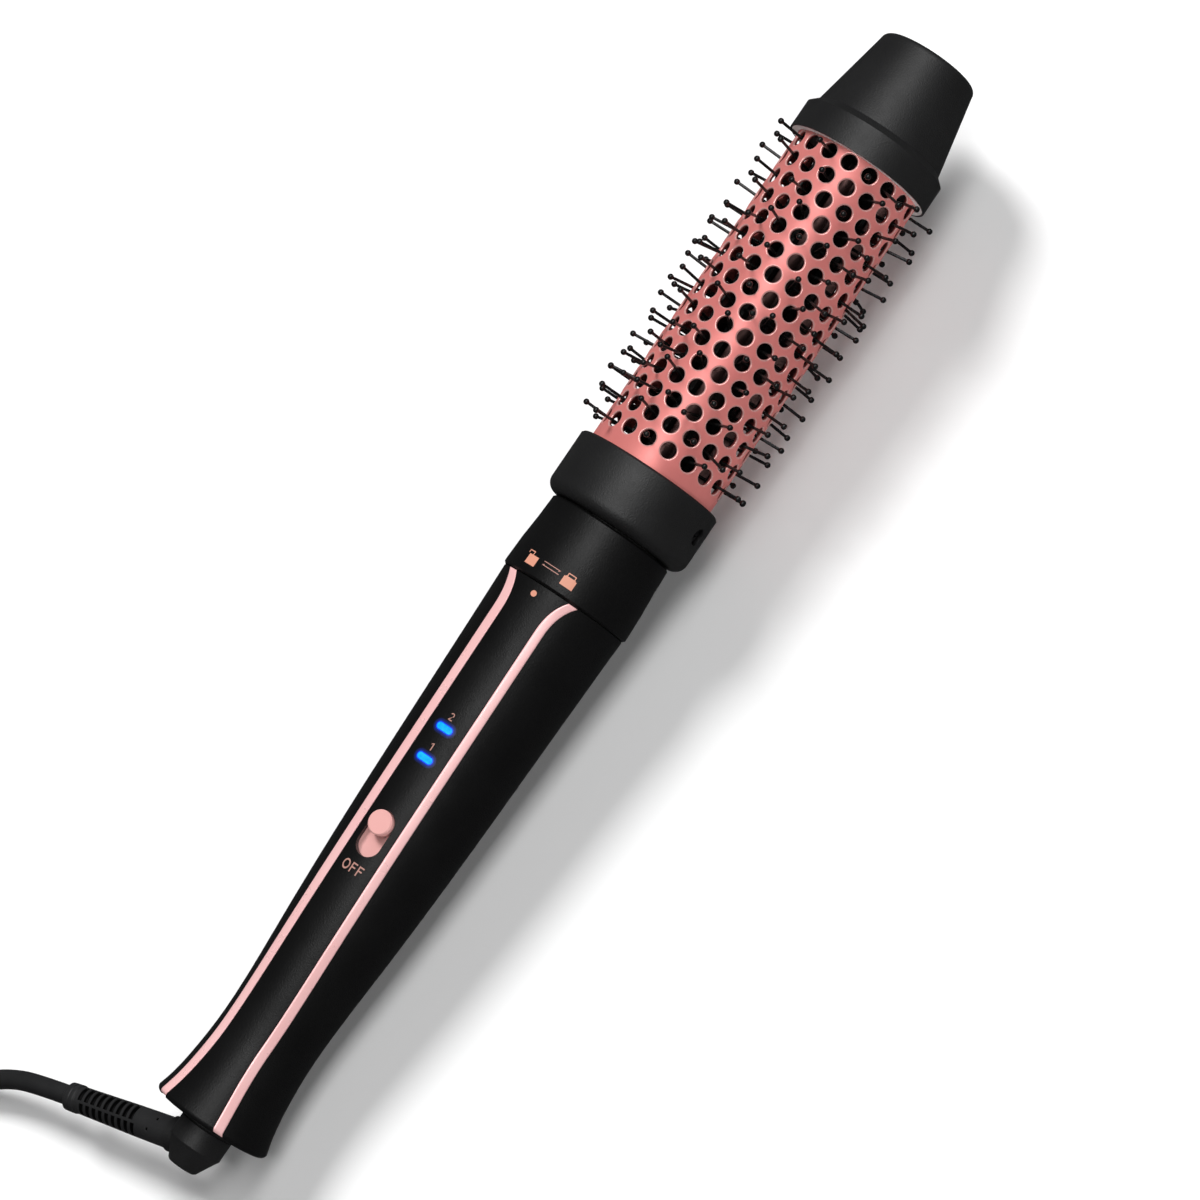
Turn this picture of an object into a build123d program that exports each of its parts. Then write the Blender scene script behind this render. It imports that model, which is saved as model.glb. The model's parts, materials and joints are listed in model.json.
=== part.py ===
from build123d import *

import os
from math import atan2, cos, degrees, hypot, pi, radians, sin, tan
from random import Random

# A heated round brush with a twist-lock brush head, lying on its handle's end rim and its pin tips.
# It is drawn about its own axis: +X runs from the cord end to the tip, and +Z out of the front panel.
# Then the axis is tipped up and the whole tool set down on the floor at z = 0. Millimetres.

# ---- driving dimensions ----------------------------------------------------------------------------------
BARREL_R = 19.0          # 38 mm barrel
BARREL_WALL = 0.9
BARREL_START, BARREL_END = 204.0, 312.0
HOLE_R = 2.25
HOLE_ROWS, HOLES_PER_ROW = 16, 18
FIRST_HOLE_ROW, HOLE_PITCH = 215.2, 6.03
HOLE_TURN = -6.0         # angle of the first row's first hole from the panel normal

STRIPS = 9
STRIP_R, STRIP_DEEP, STRIP_WIDE = 8.0, 3.0, 2.0
STRIP_START, STRIP_END = 208.2, 311.0
STRIP_TURN = 5.0         # each strip's angle past a hole of the first row
PIN_R, PIN_BALL_R = 0.42, 0.85
PIN_TIP_R = 25.45        # from the axis to the middle of the ball
FAR_PIN_SHARE = 0.3      # how many of the holes further round from a strip have a pin
FAR_FOOT_SHIFT = 1.4     # a far pin grows out of its strip this much nearer the tip than the near one
RESTING_STRIP = 4        # the strip whose first far pin the tool lies on

TIP_COLLAR_R, TIP_COLLAR_START, TIP_COLLAR_END = 21.6, 308.3, 316.5
TIP_CONE_R, TIP_CONE_START = 19.4, 318.6
TIP_END, TIP_END_R, TIP_ROUND = 344.0, 14.35, 2.0

BASE_COLLAR_R, BASE_COLLAR_START, BASE_COLLAR_END = 21.8, 190.5, 208.7
BASE_COLLAR_ROUND = 3.5
COLLAR_SCREW_S, COLLAR_RECESS_R, COLLAR_RECESS_DEEP = 201.2, 2.5, 2.4
SPIGOT_R, SPIGOT_BORE_R, SPIGOT_END = 14.0, 12.2, 158.0
PIN_RING_R, CONTACT_R = 6.0, 1.2

RING_START, RING_END = 167.3, 190.0
RING_BORE_R, RING_FOOT_R, RING_TOP_R = 16.9, 19.45, 18.4
LOCK_TURN = 19.0         # each way from the middle

NECK_R, NECK_BORE_R, NECK_START, NECK_END = 16.85, 14.3, 150.0, 189.6

# the handle's outline: a flared foot, a waist, then a slow swell up to the lock ring
HANDLE_OUTLINE = [(1.5, 17.15), (6.0, 15.95), (14.0, 14.75), (25.0, 13.95), (38.0, 14.1), (57.0, 15.2),
                  (82.0, 16.45), (108.0, 17.3), (134.0, 17.95), (167.0, 18.85)]
HANDLE_END_ROUND = 1.5
SKIN, WALL = 1.0, 2.2    # depth of the panel and trims, and the shell's whole wall

# half widths of the panel and the trims beside it, flared at both ends
TRIM_LEFT_WIDE, TRIM_RIGHT_WIDE, PANEL_HALF = 3.4, 2.5, 5.8
FLARE_FOOT_HALF, FLARE_TOP_HALF = 8.9, 9.9
FLARE_FOOT_END, FLARE_TOP_START = 24.0, 156.0
TRIM_GAP = 0.12

SWITCH_S, SWITCH_LONG, SWITCH_WIDE = 88.6, 13.8, 7.4
KNOB_R, KNOB_PROUD = 3.5, 1.4
KNOB_TRAVEL = 6.2        # from its place nearest the tip, as drawn, to its place nearest the cord
SLOT_DEEP = 2.0          # from the panel's surface to the slider plate
SLIDER_HALF, SLIDER_REACH = 4.2, 7.5  # half the plate's width, and how far it reaches past the slot's middle
LED_S, LED_LONG, LED_WIDE = (112.2, 121.6), 5.0, 1.8

ELBOW_S, ELBOW_R, STEM_R, BUSH_BORE_R = -6.0, 7.75, 5.95, 6.0
BOOT_DIR = Vector(-0.262, 0.960, -0.104).normalized()
BOOT_START, BOOT_LENGTH, BOOT_R, BOOT_TIP_R = 8.0, 35.0, 4.35, 3.65

TIP_UP = 2.48            # the axis rises this many degrees towards the tip

# the cord: out of the boot, down to the floor, and round a tied coil with the plug on top
CORD_R = 2.75
COIL_AT = (-260.0, 51.0)
COIL_R, COIL_HALF_WIDE, COIL_HIGH = 30.0, 11.0, 15.4
COIL_CORNER = 3.5
TIE_ANGLE, TIE_SPAN, TIE_THICK = -60.0, 20.0, 1.0
PLUG_HIGH, PLUG_WIDE, PLUG_LONG, PLUG_NECK = 15.0, 24.0, 26.0, 13.0
BLADE_LONG, BLADE_WIDE, BLADE_THICK, BLADE_APART = 17.0, 6.35, 1.5, 12.7
TAIL_LAST_R = 31.0       # the last part of the cord leaves the coil on this radius

SCREW_R, SCREW_HEAD_R = 1.0, 2.3
BOARD_Z, BOARD_THICK, BOARD_HALF = 6.0, 1.2, 7.0
BOARD_START, BOARD_END = 34.0, 147.0
WIRE_R = 0.8
SHELL_SCREW_S = (48.0, 140.0)


# ---- helpers ---------------------------------------------------------------------------------------------
def turned(*outline):
    """A solid of revolution about the tool's axis, from (place along the axis, radius) points."""
    return revolve(make_face(Polyline(*outline, close=True)), Axis.X)


def tube_between(start, end, outer, inner=0.0):
    if inner:
        return turned((start, inner), (end, inner), (end, outer), (start, outer))
    return turned((start, 0), (end, 0), (end, outer), (start, outer))


def bar(low, high):
    """A box from its lowest to its highest corner."""
    size = [b - a for a, b in zip(low, high)]
    middle = [(a + b) / 2 for a, b in zip(low, high)]
    return Pos(*middle) * Box(*size)


def rod(start, end, radius):
    """A round rod between two points."""
    start, end = Vector(*start), Vector(*end)
    place = Plane(origin=start, z_dir=end - start)
    return extrude(place * Circle(radius), (end - start).length)


def around(shape, angle):
    """Turn a shape about the tool's axis, from the panel normal towards +Y."""
    return Rot(-angle, 0, 0) * shape


def one(shape):
    """The single solid of a shape."""
    return shape.solids()[0] if len(shape.solids()) == 1 else Compound(children=list(shape.solids()))


# ---- brush head ------------------------------------------------------------------------------------------
def hole_places():
    """(place along the axis, angle) of each hole, row by row, alternate rows half a pitch round."""
    step = 360.0 / HOLES_PER_ROW
    return [[(FIRST_HOLE_ROW + row * HOLE_PITCH, HOLE_TURN + step * (k + 0.5 * (row % 2)))
             for k in range(HOLES_PER_ROW)] for row in range(HOLE_ROWS)]


def make_barrel():
    body = tube_between(BARREL_START, BARREL_END, BARREL_R, BARREL_R - BARREL_WALL)
    drill = Pos(0, 0, BARREL_R) * Cylinder(HOLE_R, 6.0)
    drills = [Pos(s, 0, 0) * around(drill, angle) for row in hole_places() for s, angle in row]
    return body - drills


def strip_angle(index):
    return HOLE_TURN + STRIP_TURN + 360.0 / STRIPS * index


def pin(s, turn, lean, shift=0.0):
    """A ball-ended pin that grows out of a strip at s + shift and passes the barrel's wall at a turn and a lean."""
    foot = Vector(s + shift, 0, STRIP_R + STRIP_DEEP - 0.8)
    wall = Vector(s + lean, BARREL_R * sin(radians(turn)), BARREL_R * cos(radians(turn)))
    heading = (wall - foot).normalized()
    along, across = heading.Y * foot.Y + heading.Z * foot.Z, hypot(heading.Y, heading.Z)
    reach = ((along ** 2 + across ** 2 * (PIN_TIP_R ** 2 - foot.Z ** 2)) ** 0.5 - along) / across ** 2
    neck = reach - (PIN_BALL_R ** 2 - PIN_R ** 2) ** 0.5
    shaft = Polyline((0, reach + PIN_BALL_R), (0, 0), (PIN_R, 0), (PIN_R, neck))
    ball = ThreePointArc((PIN_R, neck), (PIN_BALL_R, reach), (0, reach + PIN_BALL_R))
    solid = revolve(Plane.XZ * make_face([shaft, ball]), Axis.Z)
    return Plane(origin=foot, z_dir=heading).location * solid


def make_bristle_strip(index):
    """A moulded bar with a pin to the nearer hole of each row and, here and there, one to the farther hole."""
    chance = Random(100 + index)
    pieces = []
    for row in range(HOLE_ROWS):
        s = FIRST_HOLE_ROW + row * HOLE_PITCH
        near, far = -STRIP_TURN, 180.0 * 2 / HOLES_PER_ROW - STRIP_TURN
        if row % 2:
            near, far = -near, -far
        pieces.append(pin(s, near + chance.uniform(-2.0, 2.0), chance.uniform(-1.3, 1.3)))
        resting = row == 0 and index == RESTING_STRIP
        if resting or chance.random() < FAR_PIN_SHARE:
            lean = 0.0 if resting else chance.uniform(-1.0, 1.0)
            pieces.append(pin(s, far + chance.uniform(-1.2, 1.2), lean, FAR_FOOT_SHIFT))
    strip = bar((STRIP_START, -STRIP_WIDE / 2, STRIP_R), (STRIP_END, STRIP_WIDE / 2, STRIP_R + STRIP_DEEP))
    return around(strip + pieces, strip_angle(index))


def make_strip_ring(start, end, bore):
    """A disc that holds the strips' ends."""
    ring = tube_between(start, end, BARREL_R - BARREL_WALL - 0.1, bore)
    notch = bar((start - 1, -STRIP_WIDE / 2 - 0.05, STRIP_R - 0.4),
                (end + 1, STRIP_WIDE / 2 + 0.05, STRIP_R + STRIP_DEEP + 0.05))
    return ring - [around(notch, strip_angle(index)) for index in range(STRIPS)]


def make_tip_cap():
    """The cool tip: a collar over the barrel's end, then a cone, hollow, with a screw boss inside."""
    outer = Polyline((TIP_COLLAR_START, 21.0), (TIP_COLLAR_START, TIP_COLLAR_R), (TIP_COLLAR_END, TIP_COLLAR_R),
                     (TIP_CONE_START, TIP_CONE_R), (TIP_END - TIP_ROUND, TIP_END_R + TIP_ROUND * 0.2))
    rounded = RadiusArc(outer @ 1, (TIP_END, TIP_END_R - TIP_ROUND * 0.8), TIP_ROUND)
    inner = Polyline(rounded @ 1, (TIP_END, 0), (TIP_END - 2.5, 0), (TIP_END - 2.5, TIP_END_R - 3.0),
                     (TIP_CONE_START, 16.6), (312.2, 16.6), (312.2, BARREL_R + 0.05), (310.8, BARREL_R + 0.05),
                     (310.8, 21.0), (TIP_COLLAR_START, 21.0))
    shell = revolve(make_face([outer, rounded, inner]), Axis.X)
    boss = tube_between(314.0, TIP_END - 2.0, 4.0) - tube_between(313.0, 328.0, SCREW_R + 0.35)
    return shell + boss


def make_base_collar():
    """The collar round the handle end of the barrel, with a screw recess on each side."""
    rise = BASE_COLLAR_ROUND
    foot = (BASE_COLLAR_START, BASE_COLLAR_R - rise)
    side = (BASE_COLLAR_START + rise, BASE_COLLAR_R)
    arc = RadiusArc(foot, side, rise)
    rest = Polyline(arc @ 1, (BASE_COLLAR_END - 0.6, BASE_COLLAR_R), (BASE_COLLAR_END, BASE_COLLAR_R - 0.6),
                    (BASE_COLLAR_END, BARREL_R + 0.05), (BARREL_START, BARREL_R + 0.05), (BARREL_START, 17.2),
                    (192.5, 17.2), (192.5, 15.5), (BASE_COLLAR_START, 15.5), foot)
    collar = revolve(make_face([arc, rest]), Axis.X)
    recess = Pos(COLLAR_SCREW_S, 0, BASE_COLLAR_R) * Cylinder(COLLAR_RECESS_R, 2 * COLLAR_RECESS_DEEP)
    passage = Pos(COLLAR_SCREW_S, 0, BASE_COLLAR_R) * Cylinder(SCREW_R + 0.2, 16.0)
    return collar - [around(cut, side) for side in (90, -90) for cut in (recess, passage)]


def make_collar_screws():
    """Two cross-head screws, through the collar into the hub."""
    top = BASE_COLLAR_R - COLLAR_RECESS_DEEP + 1.23
    head = Pos(COLLAR_SCREW_S, 0, top - 0.6) * Cylinder(SCREW_HEAD_R - 0.3, 1.2)
    shank = Pos(COLLAR_SCREW_S, 0, top - 3.6) * Cylinder(SCREW_R, 5.2)
    cross = Pos(COLLAR_SCREW_S, 0, top) * (Box(2.2, 0.5, 1.2) + Box(0.5, 2.2, 1.2))
    screw = head + shank - cross
    return Compound(children=[one(around(screw, side)) for side in (90, -90)])


def contact_places():
    return [(PIN_RING_R * sin(radians(a)), PIN_RING_R * cos(radians(a))) for a in (0, 120, 240)]


def make_base_hub():
    """The plug-in foot of the head: a spigot, a disc that carries the pins, and a seat for barrel and heater."""
    hub = turned((SPIGOT_END, SPIGOT_BORE_R), (178, SPIGOT_BORE_R), (178, 0), (181, 0), (181, SPIGOT_BORE_R),
                 (200, SPIGOT_BORE_R), (200, 7.7), (208, 7.7), (208, 18.0), (204.1, 18.0), (204.1, 17.1),
                 (192.6, 17.1), (192.6, SPIGOT_R), (SPIGOT_END, SPIGOT_R))
    screw_hole = Pos(COLLAR_SCREW_S, 0, 17.0) * Cylinder(SCREW_R + 0.05, 9.0)
    catch = bar((173.8, -3.6, SPIGOT_R - 0.9), (180.0, 3.6, SPIGOT_R + 1))
    pins = [rod((177, y, z), (182, y, z), CONTACT_R) for y, z in contact_places()]
    return hub - [around(screw_hole, side) for side in (90, -90)] - [around(catch, side) for side in (90, -90)] - pins


def make_head_pins():
    """Three round-nosed contact pins that carry the current into the head."""
    return Compound(children=[one(rod((165.2, y, z), (186, y, z), CONTACT_R) + Pos(165.2, y, z) * Sphere(CONTACT_R))
                              for y, z in contact_places()])


def make_heater_body():
    """An aluminium body slotted for the heater plate, with three fins between the strips."""
    body = tube_between(200.2, 306.0, 7.6)
    fin = bar((212.0, -0.8, 7.0), (304.0, 0.8, 13.5))
    slot = bar((199.0, -6.1, -1.8), (307.0, 6.1, 1.8))
    fins = [around(fin, strip_angle(index) + 180.0 / STRIPS) for index in (0, 3, 6)]
    return body + fins - slot


def make_heater_insulation():
    return bar((202.0, -6.05, -1.75), (304.0, 6.05, 1.75)) - bar((201.0, -5.8, -1.5), (305.0, 5.8, 1.5))


def make_ptc_heater():
    return bar((208.0, -5.75, -1.45), (300.0, 5.75, 1.45))


def make_thermal_fuse():
    """A small cut-out in the leads, between the pin disc and the heater."""
    return rod((186.5, 3.0, -8.0), (198.0, 3.0, -8.0), 2.0)


# ---- handle ----------------------------------------------------------------------------------------------
def handle_radius(s):
    """The handle's outer radius at a place along the axis, read from the outline."""
    for (s0, r0), (s1, r1) in zip(HANDLE_OUTLINE, HANDLE_OUTLINE[1:]):
        if s <= s1:
            return r0 + (r1 - r0) * (s - s0) / (s1 - s0)
    return HANDLE_OUTLINE[-1][1]


def handle_solid(inset):
    """The handle's outline, turned, as if its skin were taken off to a depth of inset."""
    side = Spline(*[(s, r - inset) for s, r in HANDLE_OUTLINE])
    start, end = side @ 0, side @ 1
    if inset:
        rest = Polyline(end, (end.X, 0), (start.X, 0), start)
        return revolve(make_face([side, rest]), Axis.X)
    foot = (0, start.Y - HANDLE_END_ROUND)
    rest = Polyline(end, (end.X, 0), (0, 0), foot)
    return revolve(make_face([side, rest, RadiusArc(foot, start, HANDLE_END_ROUND)]), Axis.X)


def panel_zone(left, right):
    """A tall prism over the front panel, grown by a given amount on each side, flared at both ends."""
    end = HANDLE_OUTLINE[-1][0] + 1
    edges = []
    for side, grow in ((1, left), (-1, right)):
        foot, half, top = (side * (width + grow) for width in (FLARE_FOOT_HALF, PANEL_HALF, FLARE_TOP_HALF))
        edges.append(Bezier((-1, foot), (12, half + side * 0.2), (FLARE_FOOT_END, half)))
        edges.append(Line((FLARE_FOOT_END, half), (FLARE_TOP_START, half)))
        edges.append(Bezier((FLARE_TOP_START, half), (163.5, half), (end, top)))
    edges += [Line(edges[0] @ 0, edges[3] @ 0), Line(edges[2] @ 1, edges[5] @ 1)]
    return extrude(make_face(edges), 30)


def switch_frame():
    """A place on the panel at the middle of the switch slot: x along the surface, z out of it."""
    low, high = handle_radius(SWITCH_S - 12), handle_radius(SWITCH_S + 12)
    slope = degrees(atan2(high - low, 24))
    return Pos(SWITCH_S, 0, handle_radius(SWITCH_S)) * Rot(0, -slope, 0)


def oblong(long, wide, low, high):
    """An upright block with round ends, long along x."""
    return extrude(Pos(0, 0, low) * SlotOverall(long, wide), high - low)


def switch_cuts():
    slot = oblong(SWITCH_LONG, SWITCH_WIDE, -6, 6)
    plate_room = bar((-15.4, -SLIDER_HALF - 0.25, -7.0), (15.4, SLIDER_HALF + 0.25, 0.1 - SLOT_DEEP))
    return switch_frame() * slot, switch_frame() * plate_room


def led_block(s, grow, low):
    """An oblong across the panel."""
    return Pos(s, 0, low) * Rot(0, 0, 90) * oblong(LED_LONG + 2 * grow, LED_WIDE + 2 * grow, 0, 12)


def make_shells():
    """The two halves of the handle, with a recess for the panel and trims, a cord-end wall and screw bosses."""
    outer, skin, inside = handle_solid(0), handle_solid(SKIN), handle_solid(WALL)
    inside = inside & tube_between(2.2, 168, 30)
    recess = (outer - skin) & panel_zone(TRIM_LEFT_WIDE, TRIM_RIGHT_WIDE)
    slot, plate_room = switch_cuts()
    wall = outer - inside - tube_between(-1, 3, ELBOW_R + 0.3)
    front_half, back_half = bar((-2, -30, 0.0), (170, 30, 30)), bar((-2, -30, -30), (170, 30, 0.0))
    leds = [led_block(s, 0.05, 10) for s in LED_S]
    front_posts = [rod((s, 0, 0.3), (s, 0, 30), 3.0) & inside for s in SHELL_SCREW_S]
    back_posts = [rod((s, 0, -0.3), (s, 0, -30), 3.4) & inside for s in SHELL_SCREW_S]
    pilots = [rod((s, 0, -1), (s, 0, 9.0), SCREW_R + 0.05) for s in SHELL_SCREW_S]
    ways = [rod((s, 0, 1), (s, 0, -30), SCREW_R + 0.2) for s in SHELL_SCREW_S]
    sinks = [rod((s, 0, -7.0), (s, 0, -30), SCREW_HEAD_R + 0.2) for s in SHELL_SCREW_S]
    front = ((wall & front_half) + front_posts) - recess - slot - plate_room - leds - pilots
    back = ((wall & back_half) + back_posts) - ways - sinks
    return front, back


def make_front_panel():
    layer = (handle_solid(0) - handle_solid(SKIN)) & panel_zone(-TRIM_GAP, -TRIM_GAP)
    slot, plate_room = switch_cuts()
    return layer - slot - [led_block(s, 0.05, 10) for s in LED_S] - tube_between(-1, 3, ELBOW_R + 0.3)


def make_trims():
    """The two bright strips beside the panel, as one shape with two solids, left (+Y) first."""
    band = panel_zone(TRIM_LEFT_WIDE - TRIM_GAP, TRIM_RIGHT_WIDE - TRIM_GAP) - panel_zone(0, 0)
    pair = (handle_solid(0) - handle_solid(SKIN)) & band
    return sorted(pair.solids(), key=lambda solid: -solid.center().Y)


def make_led_window(s):
    return led_block(s, 0, 13.4) & handle_solid(0)


def make_leds():
    return Compound(children=[one(bar((s - 0.8, -1.6, BOARD_Z + BOARD_THICK), (s + 0.8, 1.6, 13.3))) for s in LED_S])


def make_neck():
    """The tube that the head plugs into and the lock ring turns on, with a floor and two latch windows."""
    neck = turned((NECK_START, 0), (152, 0), (152, NECK_BORE_R), (NECK_END, NECK_BORE_R), (NECK_END, 17.5),
                  (188.6, 17.5), (188.6, NECK_R), (167.4, NECK_R), (167.4, 15.9), (NECK_START, 15.9))
    window = bar((171.8, -3.2, 13.0), (182.2, 3.2, 20.0))
    leads = [rod((149, y, z), (153, y, z), 1.0) for y, z in contact_places()]
    return neck - [around(window, side) for side in (90, -90)] - leads


def make_latch_springs():
    """Two folded leaf springs in the neck's windows."""
    leaf = bar((172.0, -3.0, 14.5), (182.0, 3.0, 15.3))
    ridge = Pos(177.0, 0, 15.2) * Rot(90, 0, 0) * Cylinder(2.2, 5.6)
    ridge = ridge & bar((172.0, -3.0, 15.2), (182.0, 3.0, 17.3))
    return Compound(children=[one(around(leaf + ridge, side)) for side in (90, -90)])


def make_lock_ring():
    """A flared sleeve, with a lip at its top for the neck's flange, and inner pockets for the latch springs."""
    ring = turned((RING_START, RING_BORE_R), (188.3, RING_BORE_R), (188.3, 17.8), (RING_END, 17.8),
                  (RING_END, RING_TOP_R - 0.5), (189.5, RING_TOP_R), (183.0, 18.68), (176.0, 19.22),
                  (169.0, RING_FOOT_R), (167.9, RING_FOOT_R), (RING_START, RING_FOOT_R - 0.6))
    reach = LOCK_TURN + 14.0
    wedge = make_face(Polyline((0, 0), (25 * sin(radians(-reach)), 25 * cos(radians(reach))), (0, 32),
                               (25 * sin(radians(reach)), 25 * cos(radians(reach))), close=True))
    pocket = extrude(Plane(origin=(171.6, 0, 0), x_dir=(0, 1, 0), z_dir=(1, 0, 0)) * wedge, 10.8)
    pocket = pocket & tube_between(171.0, 183.0, 17.75)
    return ring - [around(pocket, side) for side in (90, -90)]


def make_socket():
    """The insulator that faces the head's pins, with three stepped bores."""
    block = tube_between(152.1, 176.0, 11.9)
    bores = [rod((155.0, y, z), (177.0, y, z), 1.9) for y, z in contact_places()]
    leads = [rod((152.0, y, z), (156.0, y, z), 1.0) for y, z in contact_places()]
    return block - bores - leads


def make_socket_contacts():
    sleeves = []
    for y, z in contact_places():
        sleeve = rod((155.1, y, z), (175.4, y, z), 1.85) - rod((162.5, y, z), (176.0, y, z), CONTACT_R + 0.08)
        sleeves.append(one(sleeve))
    return Compound(children=sleeves)


def make_switch_knob():
    """A round knob on a slider plate that always covers the slot, with a fork down to the switch."""
    knob_at = Pos(KNOB_TRAVEL / 2, 0, 0)
    knob = knob_at * Pos(0, 0, (KNOB_PROUD - SLOT_DEEP) / 2) * Cylinder(KNOB_R, KNOB_PROUD + SLOT_DEEP)
    knob = chamfer(knob.edges().group_by(Axis.Z)[-1], 0.35)
    plate = bar((-SLIDER_REACH, -SLIDER_HALF, -SLOT_DEEP - 0.9), (SLIDER_REACH + KNOB_TRAVEL, SLIDER_HALF, -SLOT_DEEP))
    fork = knob_at * bar((-1.0, -1.5, -SLOT_DEEP - 3.1), (1.0, 1.5, -SLOT_DEEP))
    return switch_frame() * (knob + plate + fork)


def make_slide_switch():
    """The switch on the board, with a groove that the knob's fork runs in."""
    body = bar((77.0, -3.6, BOARD_Z + BOARD_THICK), (101.0, 3.6, 12.6))
    groove = bar((79.5, -1.9, 10.4), (98.5, 1.9, 13.0))
    return body - groove


def make_circuit_board():
    board = bar((BOARD_START, -BOARD_HALF, BOARD_Z), (BOARD_END, BOARD_HALF, BOARD_Z + BOARD_THICK))
    return board - [rod((s, 0, 0), (s, 0, 12), 3.4) for s in SHELL_SCREW_S]


def make_board_parts():
    """Capacitor, bridge, controller and a power transistor on its tab."""
    top = BOARD_Z + BOARD_THICK
    parts = [bar((58.0, -5.0, top), (68.0, 5.0, top + 4.0)), bar((106.0, -6.5, top), (113.0, -2.0, top + 1.6)),
             bar((126.0, -4.0, top), (133.0, 4.0, top + 2.0)), bar((52.5, -6.0, BOARD_Z - 6.0), (69.0, 1.0, BOARD_Z)),
             rod((76.0, 1.0, 1.5), (92.0, 1.0, 1.5), 4.4), bar((100.0, -5.0, BOARD_Z - 4.5), (115.0, 5.0, BOARD_Z))]
    return Compound(children=[one(part) for part in parts])


def make_shell_screws():
    """Screws up from the back shell into the front shell's posts."""
    screws = []
    for s in SHELL_SCREW_S:
        head = rod((s, 0, -7.0), (s, 0, -9.0), SCREW_HEAD_R)
        shank = rod((s, 0, -7.2), (s, 0, 8.0), SCREW_R)
        cross = Pos(s, 0, -9.0) * (Box(2.6, 0.6, 1.6) + Box(0.6, 2.6, 1.6))
        screws.append(one(head + shank - cross))
    return Compound(children=screws)


def make_swivel_bush():
    """The bearing that the cord's elbow turns in."""
    return turned((2.4, BUSH_BORE_R), (11.4, BUSH_BORE_R), (11.4, 11.4), (8.0, 11.4), (8.0, 9.6), (2.4, 9.6))


def make_swivel_contacts():
    """A carrier with two ring contacts round the swivel's post."""
    carrier = tube_between(14.6, 25.0, 9.0, 3.6)
    rings = [tube_between(s, s + 1.6, 3.6, 3.1) for s in (16.5, 21.0)]
    return carrier + rings


def make_wire_harness():
    """Two leads from the swivel to the board, and three from the board through the neck's floor to the socket."""
    leads = [rod((25.4, y, 3.0), (38.0, y, BOARD_Z - 1.0), WIRE_R) for y in (5.0, -5.0)]
    for y, z in contact_places():
        bend = (148.4, y, z)
        lead = rod(bend, (155.0, y, z), WIRE_R) + Pos(*bend) * Sphere(WIRE_R)
        if z < BOARD_Z - WIRE_R:
            lead += rod((141.0, y, BOARD_Z - 1.0), bend, WIRE_R)
        leads.append(lead)
    return Compound(children=[one(lead) for lead in leads])


# ---- cord end --------------------------------------------------------------------------------------------
def boot_plane(distance):
    """A plane across the boot, at a distance from where its line meets the tool's axis."""
    return Plane(origin=Vector(ELBOW_S, 0, 0) + BOOT_DIR * distance, x_dir=(1, 0, 0.2), z_dir=BOOT_DIR)


def make_swivel_elbow():
    """The elbow: a drum on the tool's axis with a tapered back, a stem into the bush, and a side outlet."""
    drum = turned((13.9, 0), (13.9, STEM_R), (12.9, STEM_R), (12.9, 5.2), (11.8, 5.2), (11.8, STEM_R), (1.0, STEM_R),
                  (1.0, ELBOW_R), (-1.0, ELBOW_R), (-1.3, ELBOW_R - 0.25), (-1.6, ELBOW_R), (-7.2, ELBOW_R),
                  (-8.0, ELBOW_R - 0.5), (-13.2, 4.4), (-13.6, 3.9), (-13.6, 0))
    outlet = extrude(boot_plane(0) * Circle(4.9), BOOT_START)
    return drum + outlet


def make_swivel_post():
    """The insulated post that carries the two feeds through the swivel."""
    post = tube_between(13.9, 27.0, 2.8)
    return post + [tube_between(s, s + 1.6, 3.04) for s in (16.5, 21.0)]


def make_retaining_clip():
    ring = tube_between(11.9, 12.8, 7.2, 5.25)
    return ring - bar((11.0, -2.0, 0), (14.0, 2.0, 9.0))


def make_strain_relief():
    """A tapered boot: smooth at the elbow, then slotted in alternate rows, with a plain end ring."""
    smooth, ring = 12.0, 2.4
    steps = [(0.0, BOOT_R), (smooth, BOOT_R - 0.15), (BOOT_LENGTH, BOOT_TIP_R)]
    body = loft([boot_plane(BOOT_START + along) * Circle(radius) for along, radius in steps], ruled=True)
    body -= extrude(boot_plane(BOOT_START - 0.5) * Circle(CORD_R), BOOT_LENGTH + 1)
    count, slot_wide = 7, 1.25
    pitch = (BOOT_LENGTH - smooth - ring) / count
    slots = []
    for index in range(count):
        along = BOOT_START + smooth + pitch * (index + 0.35)
        for side in range(4):
            offset = pitch / 2 if side % 2 else 0.0
            place = boot_plane(along + offset)
            block = Rot(0, 0, 90 * side + 45) * Pos(4.0, 0, 0) * Box(2.2, 4.6, slot_wide)
            slots.append(place.location * block)
    return body - slots


def make_cord_tube(points):
    """A round tube along straight runs joined by arcs, each as large as its two runs allow."""
    route = [Vector(*point) for point in points]
    runs = [b - a for a, b in zip(route, route[1:])]
    radii = []
    for before, after in zip(runs, runs[1:]):
        half_turn = radians(before.get_angle(after)) / 2
        radii.append(0.45 * min(before.length, after.length) / tan(half_turn))
    path = FilletPolyline(*route, radius=radii)
    tube = sweep(Plane(origin=route[0], z_dir=runs[0]) * Circle(CORD_R), path=path)
    print("arc radii", [round(radius, 1) for radius in radii])
    print("tube volume", round(tube.volume, 1), "section x length", round(pi * CORD_R ** 2 * path.length, 1),
          "length", round(path.length, 1))
    return tube


def cord_route(boot_end, heading):
    """From the boot's end, straight out, down to the floor and round to the coil's far side."""
    low = CORD_R + 0.02
    return [tuple(boot_end), tuple(boot_end + heading * 9.0),
            (-187.8, 59.5, 9.0), (-194.0, 69.0, 5.6), (-203.5, 76.8, 3.4), (-215.5, 81.5, low),
            (-228.5, 83.5, low), (-242.0, 83.0, low)]


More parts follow.
